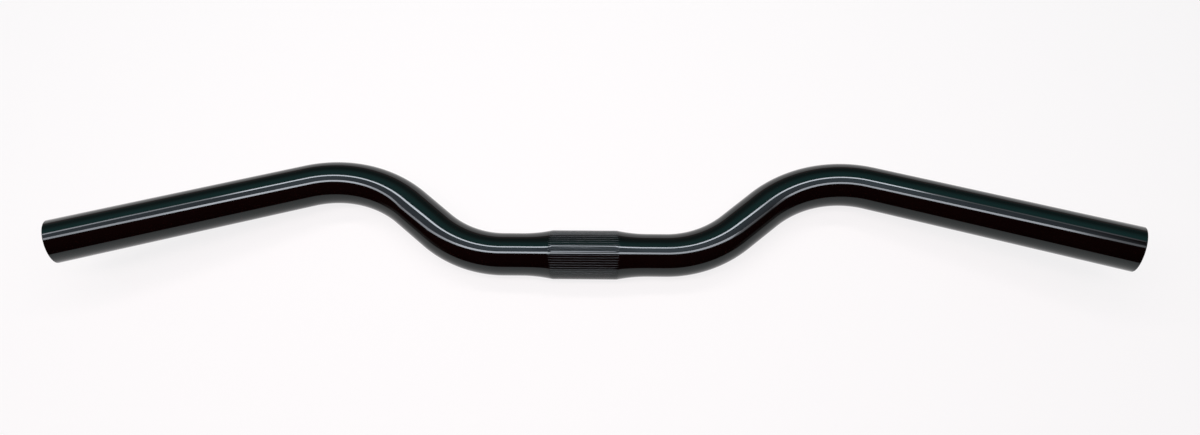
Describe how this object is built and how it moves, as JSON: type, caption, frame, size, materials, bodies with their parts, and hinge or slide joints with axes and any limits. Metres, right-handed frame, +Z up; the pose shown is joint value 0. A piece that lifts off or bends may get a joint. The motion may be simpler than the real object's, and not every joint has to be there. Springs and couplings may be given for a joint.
{
  "type": "bicycle handlebar",
  "caption": "Bent tube handlebar with a low rise and swept straight grips, a bulged and fluted stem clamp in the middle, and plain open ends.",
  "frame": {"origin": "middle of the stem clamp, on its axis", "axes": "+X along the stem clamp; +Y the way the bar rises from the clamp to its outer bends; +Z up, out of the flat that the clamp and the outer bends lie on, the way the grips sweep"},
  "size_m": [0.5396, 0.0638, 0.0493],
  "materials": {
    "gloss_black": "gloss"
  },
  "bodies": {
    "root": {"handlebar": "gloss_black"}
  },
  "joints": []
}
